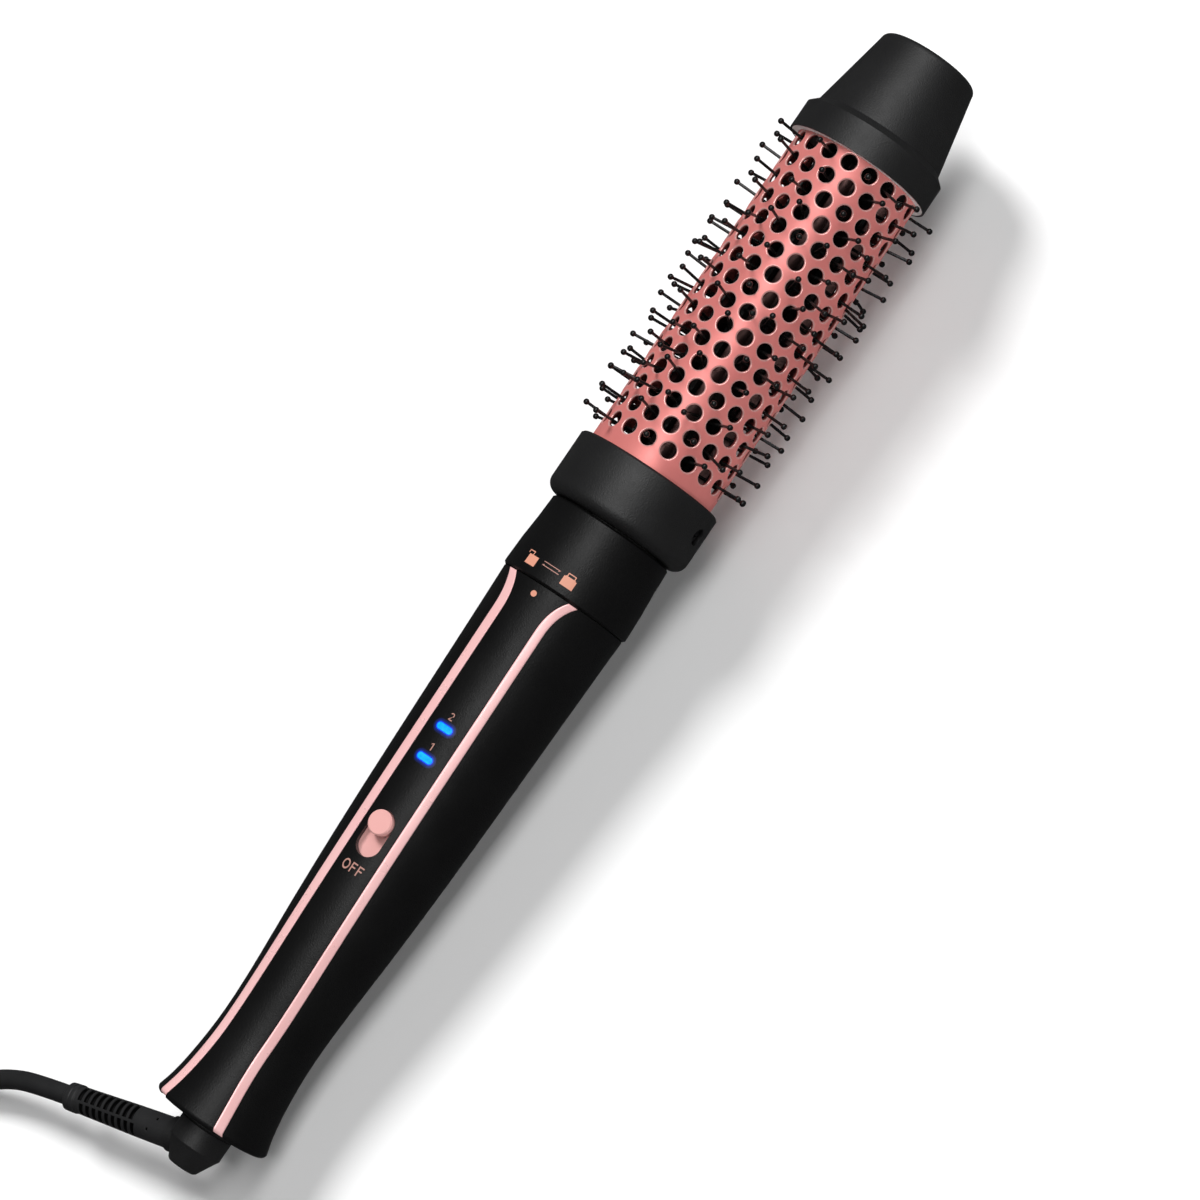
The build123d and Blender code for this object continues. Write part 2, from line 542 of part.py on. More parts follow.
def tail_route():
    """From the top of the coil, rising as it goes round, to the back of the plug."""
    x, y = COIL_AT[0] + 3.0, COIL_AT[1]
    places = [(64, 12.4), (88, 13.4), (112, 16.2), (136, 19.8), (157, 22.3)]
    bend = [(x + TAIL_LAST_R * cos(radians(a)), y + TAIL_LAST_R * sin(radians(a)), z) for a, z in places]
    return bend + [plug_back()]


def plug_back():
    """The middle of the back of the plug's neck; the plug points along -Y from here."""
    return (COIL_AT[0] + 3.0 - TAIL_LAST_R, COIL_AT[1] + 4.0, COIL_HIGH + PLUG_HIGH / 2)


def coil_sector(shrink, start, size):
    """Part of the coil's ring, its rounded section shrunk all round, from a start angle over a given size."""
    section = Plane.XZ * Pos(COIL_R, COIL_HIGH / 2) * RectangleRounded(
        2 * (COIL_HALF_WIDE - shrink), COIL_HIGH - 2 * shrink, COIL_CORNER - shrink)
    return Pos(*COIL_AT, 0) * Rot(0, 0, start) * revolve(section, Axis.Z, size)


def make_cord_coil():
    """The closed outer shape of the coil, squeezed where the tie goes round it."""
    loose = coil_sector(0.0, TIE_ANGLE + TIE_SPAN / 2, 360 - TIE_SPAN)
    return loose + coil_sector(TIE_THICK, TIE_ANGLE - TIE_SPAN / 2 - 0.5, TIE_SPAN + 1.0)


def make_cord_tie():
    """A band round the bundle, its outside level with the coil's."""
    start = TIE_ANGLE - TIE_SPAN / 2
    return coil_sector(0.0, start, TIE_SPAN) - coil_sector(TIE_THICK, start - 1, TIE_SPAN + 2)


def make_plug_body():
    """A moulded two-blade plug: a waisted grip with rounded edges, and a ribbed neck behind it."""
    x, y, z = plug_back()
    place = Plane(origin=(x, y, z), x_dir=(1, 0, 0), z_dir=(0, -1, 0))
    neck = loft([place * Circle(4.0), place * Pos(0, 0, PLUG_NECK + 1) * Circle(5.2)])
    for step in range(3):
        rib = place * Pos(0, 0, 3.0 + 3.2 * step) * Circle(4.9 + 0.3 * step)
        neck += extrude(rib, 1.4)
    wide, high = PLUG_WIDE / 2, PLUG_HIGH / 2
    sections = [(PLUG_NECK, wide * 0.72, high * 0.86), (PLUG_NECK + 9, wide * 0.8, high * 0.9),
                (PLUG_NECK + PLUG_LONG - 4, wide, high), (PLUG_NECK + PLUG_LONG, wide, high)]
    faces = [place * Pos(0, 0, along) * RectangleRounded(2 * a, 2 * b, 3.5) for along, a, b in sections]
    grip = loft(faces, ruled=True)
    return neck + grip


def make_plug_blades():
    """Two flat blades with a hole near the end of each."""
    x, y, z = plug_back()
    front = y - PLUG_NECK - PLUG_LONG
    blades = []
    for side in (-1, 1):
        middle = x + side * BLADE_APART / 2
        blade = bar((middle - BLADE_THICK / 2, front - BLADE_LONG, z - BLADE_WIDE / 2),
                    (middle + BLADE_THICK / 2, front, z + BLADE_WIDE / 2))
        blade = chamfer(blade.edges().filter_by(Axis.Z).group_by(Axis.Y)[0], 0.5)
        hole = Pos(middle, front - BLADE_LONG + 4.0, z) * Rot(0, 90, 0) * Cylinder(1.55, 4.0)
        blades.append(one(blade - hole))
    return Compound(children=blades)


# ---- the whole tool --------------------------------------------------------------------------------------
def make_tool():
    """Every node of the tool itself, about its own axis."""
    front_shell, back_shell = make_shells()
    trim_left, trim_right = make_trims()
    tool = {
        "barrel": make_barrel(),
        "tip_cap": make_tip_cap(),
        "tip_insulator": tube_between(TIP_COLLAR_START, 310.8, 20.98, BARREL_R + 0.05),
        "tip_screw": tube_between(306.4, 308.9, 2.9) + tube_between(308.8, 327.0, SCREW_R + 0.3),
        "base_collar": make_base_collar(),
        "collar_screws": make_collar_screws(),
        "base_hub": make_base_hub(),
        "strip_ring_lower": make_strip_ring(208.1, 210.2, 7.7),
        "strip_ring_upper": make_strip_ring(309.0, 311.0, SCREW_R + 0.4),
        "heater_body": make_heater_body(),
        "heater_insulation": make_heater_insulation(),
        "ptc_heater": make_ptc_heater(),
        "thermal_fuse": make_thermal_fuse(),
        "head_pins": make_head_pins(),
        "front_shell": front_shell,
        "back_shell": back_shell,
        "front_panel": make_front_panel(),
        "trim_left": trim_left,
        "trim_right": trim_right,
        "led_window_1": make_led_window(LED_S[0]),
        "led_window_2": make_led_window(LED_S[1]),
        "leds": make_leds(),
        "neck": make_neck(),
        "latch_springs": make_latch_springs(),
        "lock_ring": make_lock_ring(),
        "socket": make_socket(),
        "socket_contacts": make_socket_contacts(),
        "switch_knob": make_switch_knob(),
        "slide_switch": make_slide_switch(),
        "circuit_board": make_circuit_board(),
        "board_parts": make_board_parts(),
        "shell_screws": make_shell_screws(),
        "swivel_bush": make_swivel_bush(),
        "swivel_contacts": make_swivel_contacts(),
        "wire_harness": make_wire_harness(),
        "swivel_elbow": make_swivel_elbow(),
        "swivel_post": make_swivel_post(),
        "retaining_clip": make_retaining_clip(),
        "strain_relief": make_strain_relief(),
    }
    for index in range(STRIPS):
        tool[f"bristle_strip_{index + 1}"] = make_bristle_strip(index)
    return tool


def stand_place(shapes):
    """Where the tipped-up tool goes so that it stands on z = 0 with the middle of its box at x = y = 0."""
    boxes = [shape.bounding_box() for shape in shapes]
    low = [min(getattr(box.min, axis) for box in boxes) for axis in "XYZ"]
    high = [max(getattr(box.max, axis) for box in boxes) for axis in "XYZ"]
    return Pos(-(low[0] + high[0]) / 2, -(low[1] + high[1]) / 2, -low[2])


def make_all():
    """All nodes in the standing frame, and the place that stands the tool up."""
    tipped = {name: Rot(0, -TIP_UP, 0) * shape for name, shape in make_tool().items()}
    stand = stand_place([shape for name, shape in tipped.items() if name != "strain_relief"])
    nodes = {name: stand * shape for name, shape in tipped.items()}
    place = stand * Rot(0, -TIP_UP, 0)
    start = (place * Pos(*(Vector(ELBOW_S, 0, 0) + BOOT_DIR * (BOOT_START + BOOT_LENGTH)))).position
    back = (place * Pos(*(Vector(ELBOW_S, 0, 0) + BOOT_DIR * BOOT_START))).position
    route = cord_route(start, (start - back).normalized())
    nodes["cord_tube"] = make_cord_tube(route)
    nodes["cord_coil"] = make_cord_coil()
    nodes["cord_tail"] = make_cord_tube(tail_route())
    nodes["cord_tie"] = make_cord_tie()
    nodes["plug_body"] = make_plug_body()
    nodes["plug_blades"] = make_plug_blades()
    return nodes, place, route


def main():
    nodes, place, route = make_all()
    os.makedirs("parts", exist_ok=True)
    for name, shape in nodes.items():
        export_step(shape, f"parts/{name}.step")
    print("axis passes through", place.position, "and the cord's route is")
    for point in route + tail_route():
        print([round(value, 2) for value in point])


main()
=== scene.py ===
import json
from math import cos, radians, sin
from random import Random

import bmesh
import bpy
from mathutils import Matrix, Vector
from mathutils.bvhtree import BVHTree


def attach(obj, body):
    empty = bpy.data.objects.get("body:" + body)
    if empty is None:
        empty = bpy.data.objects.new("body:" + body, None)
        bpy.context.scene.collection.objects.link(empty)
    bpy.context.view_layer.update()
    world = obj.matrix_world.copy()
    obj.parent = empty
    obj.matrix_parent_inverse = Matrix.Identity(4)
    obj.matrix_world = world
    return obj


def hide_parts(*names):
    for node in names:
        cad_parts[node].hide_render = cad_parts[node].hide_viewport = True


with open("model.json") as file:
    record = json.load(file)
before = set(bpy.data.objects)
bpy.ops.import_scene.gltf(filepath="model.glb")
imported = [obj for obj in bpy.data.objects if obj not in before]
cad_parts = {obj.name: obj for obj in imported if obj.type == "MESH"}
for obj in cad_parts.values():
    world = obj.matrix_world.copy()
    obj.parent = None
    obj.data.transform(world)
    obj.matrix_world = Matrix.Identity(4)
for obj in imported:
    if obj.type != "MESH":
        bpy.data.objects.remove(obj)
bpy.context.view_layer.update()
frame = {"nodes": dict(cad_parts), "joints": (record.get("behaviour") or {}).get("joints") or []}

# A heated round brush, dressed around its CAD frame. Lengths named here are millimetres unless a name ends
# in _M. TOOL turns the tool's own millimetres into the scene's metres.

MM = 0.001
CORD_END, HANDLE, LOCK_RING, BRUSH_HEAD = "cord_end", "handle", "lock_ring", "brush_head"

# ---- the tool's own frame: along its axis from the handle's end, to its left, and out of its panel --------
joints = {joint["name"]: joint for joint in frame["joints"]}
AXIS = Vector(joints["handle_spin"]["axis"])
SIDE = Vector((0, 1, 0))
OUT = AXIS.cross(SIDE)
SPIN_AT = 6.0            # the spin joint's place, along the axis from the handle's end
HEEL = Vector(joints["handle_spin"]["pos_m"]) - AXIS * SPIN_AT * MM
TOOL = Matrix.Translation(HEEL) @ Matrix((AXIS, SIDE, OUT)).transposed().to_4x4() @ Matrix.Scale(MM, 4)


def tool(along, turn=0.0, radius=0.0):
    """A point of the tool: how far along its axis, turned how far left from the panel, how far out."""
    angle = radians(turn)
    return TOOL @ Vector((along, radius * sin(angle), radius * cos(angle)))


# ---- camera ----------------------------------------------------------------------------------------------
CAMERA_ALONG, CAMERA_FAR, CAMERA_TURN = 116.7, 1053.0, -25.0
AIM_ALONG, AIM_RIGHT = 173.4, 7.63
PICTURE_ROLL = 34.1      # the tool leans this far to the right in the view
LENS_MM, SENSOR_MM = 118.1, 36.0


def make_camera():
    """The photo's view: the tool leans to the right, seen from above and a little from its right."""
    right = TOOL.to_3x3() @ Vector((0, -cos(radians(CAMERA_TURN)), sin(radians(CAMERA_TURN)))) / MM
    eye = tool(CAMERA_ALONG, CAMERA_TURN, CAMERA_FAR)
    aim = tool(AIM_ALONG) + right * AIM_RIGHT * MM
    upward = AXIS * cos(radians(PICTURE_ROLL)) - right * sin(radians(PICTURE_ROLL))
    back = (eye - aim).normalized()
    across = upward.cross(back).normalized()
    data = bpy.data.cameras.new("camera")
    data.lens, data.sensor_width = LENS_MM, SENSOR_MM
    data.clip_start, data.clip_end = 0.05, 20.0
    camera = bpy.data.objects.new("camera", data)
    camera.matrix_world = (Matrix.Translation(eye)
                           @ Matrix((across, back.cross(across), back)).transposed().to_4x4())
    bpy.context.scene.collection.objects.link(camera)
    bpy.context.scene.camera = camera


# ---- mesh helpers ----------------------------------------------------------------------------------------
def add_mesh(name, points, faces, body, material):
    """A piece from points in the tool's millimetres, riding on a body."""
    mesh = bpy.data.meshes.new(name)
    mesh.from_pydata([TOOL @ Vector(point) for point in points], [], faces)
    mesh.update()
    return add_piece(name, mesh, body, material)


def add_piece(name, mesh, body, material):
    """A smooth-shaded piece of one material, riding on a body."""
    piece = bpy.data.objects.new(name, mesh)
    bpy.context.scene.collection.objects.link(piece)
    mesh.materials.append(material)
    mesh.polygons.foreach_set("use_smooth", [True] * len(mesh.polygons))
    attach(piece, body)
    return piece


SAME_PLACE = 0.001       # points nearer than this are one


def merge_close(mesh):
    """Joins points that coincide and turns every face outwards."""
    work = bmesh.new()
    work.from_mesh(mesh)
    bmesh.ops.remove_doubles(work, verts=work.verts, dist=SAME_PLACE * MM)
    bmesh.ops.recalc_face_normals(work, faces=work.faces)
    work.to_mesh(mesh)
    work.free()


def ring_faces(start_a, start_b, count):
    """Quads between two closed loops of points."""
    return [(start_a + k, start_a + (k + 1) % count, start_b + (k + 1) % count, start_b + k)
            for k in range(count)]


# ---- materials -------------------------------------------------------------------------------------------
def new_material(name, colour, roughness, metallic=0.0, **constant):
    """A principled material; constant gives other sockets, set on the shader itself."""
    material = bpy.data.materials.new(name)
    material.use_nodes = True
    shader = material.node_tree.nodes["Principled BSDF"]
    shader.inputs["Base Color"].default_value = (*colour, 1)
    shader.inputs["Roughness"].default_value = roughness
    shader.inputs["Metallic"].default_value = metallic
    for socket, value in constant.items():
        shader.inputs[socket.replace("_", " ")].default_value = value
    return material, material.node_tree, shader


NOISE_LOW, NOISE_HIGH = 0.3, 0.7    # the range that most of a noise texture's values lie in


def noise(tree, scale, detail):
    """Fractal noise over the object's own metres; scale is in bumps to a metre."""
    coordinates = tree.nodes.new("ShaderNodeTexCoord")
    texture = tree.nodes.new("ShaderNodeTexNoise")
    texture.inputs["Scale"].default_value = scale
    texture.inputs["Detail"].default_value = detail
    tree.links.new(coordinates.outputs["Object"], texture.inputs["Vector"])
    return texture.outputs["Fac"]


def spread_out(tree, value, low, high):
    """Maps a noise value to a range of numbers."""
    node = tree.nodes.new("ShaderNodeMapRange")
    node.inputs["From Min"].default_value = NOISE_LOW
    node.inputs["From Max"].default_value = NOISE_HIGH
    node.inputs["To Min"].default_value = low
    node.inputs["To Max"].default_value = high
    tree.links.new(value, node.inputs["Value"])
    return node.outputs["Result"]


def tint(tree, value, colour_low, colour_high):
    """Maps a noise value to a colour between two."""
    ramp = tree.nodes.new("ShaderNodeValToRGB")
    ramp.color_ramp.elements[0].position = NOISE_LOW
    ramp.color_ramp.elements[0].color = (*colour_low, 1)
    ramp.color_ramp.elements[1].position = NOISE_HIGH
    ramp.color_ramp.elements[1].color = (*colour_high, 1)
    tree.links.new(value, ramp.inputs["Fac"])
    return ramp.outputs["Color"]


def bump(tree, shader, height, strength, distance_m):
    """Relief from a height, as deep as the given distance."""
    node = tree.nodes.new("ShaderNodeBump")
    node.inputs["Strength"].default_value = strength
    node.inputs["Distance"].default_value = distance_m
    tree.links.new(height, node.inputs["Height"])
    tree.links.new(node.outputs["Normal"], shader.inputs["Normal"])


PATCHES = 60.0           # the scale of the patches of colour, to a metre
GLOSS_FINER = 2.3        # the patches of gloss are this much finer
GRAIN_STRENGTH = 0.5
MICRO = 1e-6

# Each kind: the material's name, two colours it drifts between, two roughnesses likewise, the scale of the
# grain to a metre, the grain's depth in micrometres, and what else differs from the default.
RECIPES = {
    "soft_black": ("soft_touch_black", (0.0022, 0.0022, 0.0023), (0.0034, 0.0034, 0.0035), (0.42, 0.48),
                   2600, 180, {"Specular_IOR_Level": 0.40}),
    "matt_black": ("matt_black", (0.006, 0.006, 0.0062), (0.009, 0.009, 0.0092), (0.48, 0.55),
                   2600, 220, {"Specular_IOR_Level": 0.75}),
    "rose_gold": ("rose_gold_aluminium", (0.74, 0.215, 0.20), (0.80, 0.245, 0.225), (0.40, 0.46),
                  5200, 12, {"metallic": 0.38, "Specular_IOR_Level": 0.9}),
    # painted shade: a darker copy of the rose gold for the hole walls and the tube's inside
    "hole_wall": ("rose_gold_hole_wall", (0.36, 0.08, 0.075), (0.44, 0.11, 0.10), (0.42, 0.52),
                  5200, 10, {"metallic": 0.5}),
    # painted highlight: a lighter, glossier copy of the rose gold for the holes' rolled edges
    "rim": ("rose_gold_rim", (0.88, 0.44, 0.41), (0.94, 0.50, 0.47), (0.20, 0.26),
            5200, 8, {"metallic": 0.5}),
    "nylon": ("black_nylon", (0.004, 0.004, 0.004), (0.007, 0.007, 0.007), (0.16, 0.26), 3000, 10, {}),
    "trim": ("rose_trim", (0.94, 0.53, 0.525), (0.96, 0.58, 0.575), (0.26, 0.32),
             5000, 5, {"metallic": 0.25, "Coat_Weight": 0.3, "Coat_Roughness": 0.15}),
    "knob": ("rose_knob", (0.91, 0.46, 0.43), (0.94, 0.51, 0.48), (0.27, 0.34),
             5000, 10, {"metallic": 0.25, "Coat_Weight": 0.3, "Coat_Roughness": 0.15}),
    "ink": ("rose_ink", (0.36, 0.19, 0.16), (0.44, 0.23, 0.19), (0.45, 0.55), 6000, 10, {}),
    "bright_ink": ("copper_ink", (0.58, 0.25, 0.17), (0.66, 0.30, 0.21), (0.40, 0.50), 6000, 10, {}),
    "insulator": ("grey_insulator", (0.74, 0.74, 0.73), (0.82, 0.82, 0.81), (0.45, 0.55), 3500, 20, {}),
    "inner": ("inner_plastic", (0.02, 0.02, 0.02), (0.035, 0.034, 0.033), (0.50, 0.60), 2500, 30, {}),
    # painted shade: the heater body is near-black with a red cast, standing in for the shade inside the
    # barrel, tinted by the rose around it
    "heater": ("heater_aluminium", (0.055, 0.030, 0.028), (0.085, 0.045, 0.042), (0.24, 0.36),
               2600, 20, {"metallic": 0.9}),
    "ceramic": ("ceramic_heater", (0.66, 0.63, 0.58), (0.76, 0.73, 0.68), (0.60, 0.70), 2500, 20, {}),
    "film": ("amber_film", (0.42, 0.20, 0.03), (0.52, 0.27, 0.05), (0.20, 0.30), 900, 30, {}),
    "steel": ("plated_steel", (0.48, 0.48, 0.49), (0.58, 0.58, 0.59), (0.25, 0.36),
              3000, 10, {"metallic": 1.0}),
    "black_steel": ("black_steel", (0.03, 0.03, 0.032), (0.05, 0.05, 0.052), (0.30, 0.40),
                    3000, 20, {"metallic": 0.9}),
    "brass": ("contact_brass", (0.66, 0.48, 0.20), (0.74, 0.56, 0.26), (0.20, 0.30),
              3000, 10, {"metallic": 1.0}),
    "board": ("board_laminate", (0.01, 0.10, 0.04), (0.015, 0.14, 0.06), (0.30, 0.40), 3000, 10, {}),
    "component": ("moulded_component", (0.02, 0.02, 0.021), (0.03, 0.03, 0.031), (0.35, 0.50), 3000, 20, {}),
    "wire": ("silicone_wire", (0.55, 0.55, 0.55), (0.65, 0.65, 0.65), (0.40, 0.50), 3000, 10, {}),
    "boot": ("boot_rubber", (0.011, 0.011, 0.0115), (0.016, 0.016, 0.0165), (0.42, 0.52), 3800, 30, {}),
    # painted shade: a near-black for the floors of the boot's slots and mould marks
    "boot_slot": ("boot_slot_floor", (0.0012, 0.0012, 0.0012), (0.002, 0.002, 0.002), (0.60, 0.70),
                  3800, 30, {"Specular_IOR_Level": 0.2}),
    "cord": ("cord_cover", (0.010, 0.010, 0.0105), (0.015, 0.015, 0.0155), (0.44, 0.54),
             3000, 30, {"patches": 140.0}),
    "plug": ("plug_vinyl", (0.0055, 0.0055, 0.0058), (0.008, 0.008, 0.0083), (0.38, 0.48),
             3200, 30, {"Specular_IOR_Level": 0.4}),
    "blade": ("nickel_blade", (0.60, 0.57, 0.50), (0.68, 0.65, 0.58), (0.22, 0.32),
              2600, 10, {"metallic": 1.0}),
    "led_resin": ("led_resin", (0.05, 0.15, 0.6), (0.08, 0.2, 0.7), (0.20, 0.30), 3000, 10, {}),
}


def varied(name, colour_low, colour_high, rough, grain, relief, patches=PATCHES, metallic=0.0, **constant):
    """A material whose colour and gloss drift over the surface, with a fine grain in relief."""
    material, tree, shader = new_material(name, colour_low, rough[0], metallic, **constant)
    colours = tint(tree, noise(tree, patches, 4.0), colour_low, colour_high)
    tree.links.new(colours, shader.inputs["Base Color"])
    gloss = noise(tree, patches * GLOSS_FINER, 3.0)
    tree.links.new(spread_out(tree, gloss, *rough), shader.inputs["Roughness"])
    bump(tree, shader, noise(tree, grain, 2.0), GRAIN_STRENGTH, relief * MICRO)
    return material


def make_materials():
    """Every material, by kind."""
    made = {kind: varied(*recipe, **sockets) for kind, (*recipe, sockets) in RECIPES.items()}
    made["led_glow"] = make_led_material()
    made["tie"] = make_tie_material()
    return made


def make_led_material():
    """A lit blue window, a little mottled."""
    material, tree, shader = new_material("blue_led", (0.0, 0.06, 0.6), 0.25, Coat_Weight=0.5)
    blues = tint(tree, noise(tree, 900.0, 2.0), (0.0, 0.16, 1.0), (0.01, 0.24, 1.0))
    tree.links.new(blues, shader.inputs["Emission Color"])
    shader.inputs["Emission Strength"].default_value = 2.2
    return material


def make_tie_material():
    """Black hook-and-loop strap with a fine woven relief."""
    material, tree, shader = new_material("tie_strap", (0.006, 0.006, 0.0065), 0.85, Sheen_Weight=0.08)
    coordinates = tree.nodes.new("ShaderNodeTexCoord")
    weave = tree.nodes.new("ShaderNodeTexChecker")
    weave.inputs["Scale"].default_value = 1800.0
    tree.links.new(coordinates.outputs["Object"], weave.inputs["Vector"])
    blacks = tint(tree, noise(tree, 2200.0, 2.0), (0.004, 0.004, 0.0045), (0.012, 0.012, 0.013))
    tree.links.new(blacks, shader.inputs["Base Color"])
    bump(tree, shader, weave.outputs["Fac"], 0.6, 150 * MICRO)
    return material


NODE_MATERIALS = {
    "soft_black": ["front_shell", "back_shell", "front_panel", "lock_ring"],
    "matt_black": ["tip_cap", "base_collar", "swivel_elbow"],
    "insulator": ["tip_insulator"],
    "inner": ["base_hub", "strip_ring_lower", "strip_ring_upper", "neck", "socket", "swivel_bush"],
    "heater": ["heater_body"],
    "ceramic": ["ptc_heater"],
    "film": ["heater_insulation"],
    "steel": ["tip_screw", "thermal_fuse", "latch_springs", "retaining_clip"],
    "black_steel": ["collar_screws", "shell_screws"],
    "brass": ["head_pins", "socket_contacts", "swivel_contacts", "swivel_post"],
    "knob": ["switch_knob"],
    "nylon": [f"bristle_strip_{number}" for number in range(1, 10)],
    "led_glow": ["led_window_1", "led_window_2"],
    "led_resin": ["leds"],
    "component": ["slide_switch", "board_parts"],
    "board": ["circuit_board"],
    "wire": ["wire_harness"],
    "plug": ["plug_body"],
    "blade": ["plug_blades"],
    "tie": ["cord_tie"],
}


def dress_nodes():
    """Gives the CAD nodes that stay their finished materials."""
    for kind, names in NODE_MATERIALS.items():
        for name in names:
            node = frame["nodes"][name]
            for index in range(len(node.material_slots)):
                node.material_slots[index].material = MATERIALS[kind]


# ---- the perforated barrel -------------------------------------------------------------------------------
BARREL_R, BARREL_WALL, BARREL_START, BARREL_END = 19.0, 0.9, 204.0, 312.0
HOLE_ROWS, HOLES_PER_ROW, FIRST_HOLE_ROW, HOLE_PITCH, HOLE_TURN = 16, 18, 215.2, 6.03, -6.0
HOLE_POINTS = 24
SIDE_STEPS = HOLE_POINTS // 6
OUTSIDE, RIM, WALL = 0, 1, 2         # the barrel's material slots
# rings from the flat surface, over a rolled edge and down the wall: radius and depth. The rolled edge is
# painted a lighter, glossier rose as a highlight.
HOLE_RINGS = [(2.75, 0.0), (2.62, 0.0), (2.49, 0.04), (2.34, 0.15), (2.25, 0.32), (2.25, BARREL_WALL)]
# the wall bands, down each hole and across the tube's inside round it, take a darker rose: painted shade
BAND_KINDS = [OUTSIDE, OUTSIDE, RIM, RIM, RIM, WALL, WALL]


def cell_outline(row):
    """The cell round a hole, as (along, round) offsets on the unrolled barrel. End rows meet in a point."""
    half = radians(180.0 / HOLES_PER_ROW) * BARREL_R
    point = (HOLE_PITCH ** 2 + half ** 2) / (2 * HOLE_PITCH)
    corner = HOLE_PITCH - point
    tip_side = point if row == HOLE_ROWS - 1 else corner
    cord_side = point if row == 0 else corner
    corners = [(point, 0.0), (tip_side, half), (-cord_side, half), (-point, 0.0), (-cord_side, -half),
               (tip_side, -half)]
    outline = []
    for (s0, t0), (s1, t1) in zip(corners, corners[1:] + corners[:1]):
        shares = [k / SIDE_STEPS for k in range(SIDE_STEPS)]
        outline += [(s0 + (s1 - s0) * share, t0 + (t1 - t0) * share) for share in shares]
    return outline


def make_barrel():
    """A tube whose every hole has a rolled edge in a lighter rose, a painted highlight, and a real wall in a
    darker rose, painted shade like the tube's inside.
    """
    points, faces, kinds = [], [], []

    def add(s, t, depth):
        angle, radius = t / BARREL_R, BARREL_R - depth
        points.append((s, radius * sin(angle), radius * cos(angle)))

    for row in range(HOLE_ROWS):
        outline = cell_outline(row)
        for k in range(HOLES_PER_ROW):
            s0 = FIRST_HOLE_ROW + row * HOLE_PITCH
            t0 = radians(HOLE_TURN + 360.0 / HOLES_PER_ROW * (k + 0.5 * (row % 2))) * BARREL_R
            first = len(points)
            for s, t in outline:
                add(s0 + s, t0 + t, 0.0)
            for radius, depth in HOLE_RINGS:
                for step in range(HOLE_POINTS):
                    angle = radians(360.0 / HOLE_POINTS * step)
                    add(s0 + radius * cos(angle), t0 + radius * sin(angle), depth)
            for s, t in outline:
                add(s0 + s, t0 + t, BARREL_WALL)
            for ring, kind in enumerate(BAND_KINDS):
                start = first + ring * HOLE_POINTS
                faces += ring_faces(start, start + HOLE_POINTS, HOLE_POINTS)
                kinds += [kind] * HOLE_POINTS
    around_count = HOLES_PER_ROW * 2 * SIDE_STEPS
    point = cell_outline(0)[0][0]
    last_row = FIRST_HOLE_ROW + (HOLE_ROWS - 1) * HOLE_PITCH
    half_cell = 180.0 / HOLES_PER_ROW
    ends = [(FIRST_HOLE_ROW - point, BARREL_START, HOLE_TURN),
            (last_row + point, BARREL_END, HOLE_TURN + half_cell)]
    for depth in (0.0, BARREL_WALL):
        for near, far, turn in ends:
            first = len(points)
            for place in (near, far):
                for k in range(around_count):
                    add(place, radians(turn + 360.0 / around_count * k) * BARREL_R, depth)
            faces += ring_faces(first, first + around_count, around_count)
            # the tube's inside at its ends takes the darker rose too: painted shade
            kinds += [OUTSIDE if depth == 0.0 else WALL] * around_count
    barrel = add_mesh("perforated_barrel", points, faces, BRUSH_HEAD, MATERIALS["rose_gold"])
    # the second and third slots: the painted-highlight rim and the painted-shade wall
    for kind in ("rim", "hole_wall"):
        barrel.data.materials.append(MATERIALS[kind])
    barrel.data.polygons.foreach_set("material_index", kinds)
    merge_close(barrel.data)
    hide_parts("barrel")


# ---- the bright trims beside the panel -------------------------------------------------------------------
# the handle's radius along the tool
HANDLE_OUTLINE = [(1.5, 17.15), (6.0, 15.95), (14.0, 14.75), (25.0, 13.95), (38.0, 14.1), (57.0, 15.2),
                  (82.0, 16.45), (108.0, 17.3), (134.0, 17.95), (167.0, 18.85)]
FOOT_ROUND = 1.5         # the rounding of the handle's foot
PANEL_HALF = 5.8
# the flares of the panel's half width, each a bend of three points (along, half width)
FOOT_FLARE = [(-1.0, 8.9), (12.0, PANEL_HALF + 0.2), (24.0, PANEL_HALF)]
TOP_FLARE = [(156.0, PANEL_HALF), (163.5, PANEL_HALF), (168.0, 9.9)]
TRIMS = {"trim_left": (1, 3.4), "trim_right": (-1, 2.5)}     # side of the panel, and width
TRIM_GAP, TRIM_PROUD, TRIM_EDGE, EDGE_DROP, TRIM_SUNK = 0.12, 0.05, 0.16, 0.04, 0.4
TRIM_COLUMNS, TRIM_STEP = 6, 0.8
TRIM_FOOT, TRIM_TOP = 0.9, 0.05      # how far past the outline's first point, and short of its last
RELAX_ROUNDS, HALVINGS = 200, 40


def spline_slopes(points):
    """The slopes of a natural cubic spline through points, found by relaxing."""
    slopes = [0.0] * len(points)
    for _ in range(RELAX_ROUNDS):
        for i, (x, y) in enumerate(points):
            top, below = 0.0, 0.0
            for j in (i - 1, i + 1):
                if 0 <= j < len(points):
                    gap = abs(points[j][0] - x)
                    top += (3 * (points[j][1] - y) / (points[j][0] - x) - slopes[j]) / gap
                    below += 2 / gap
            slopes[i] = top / below
    return slopes


OUTLINE_SLOPES = spline_slopes(HANDLE_OUTLINE)


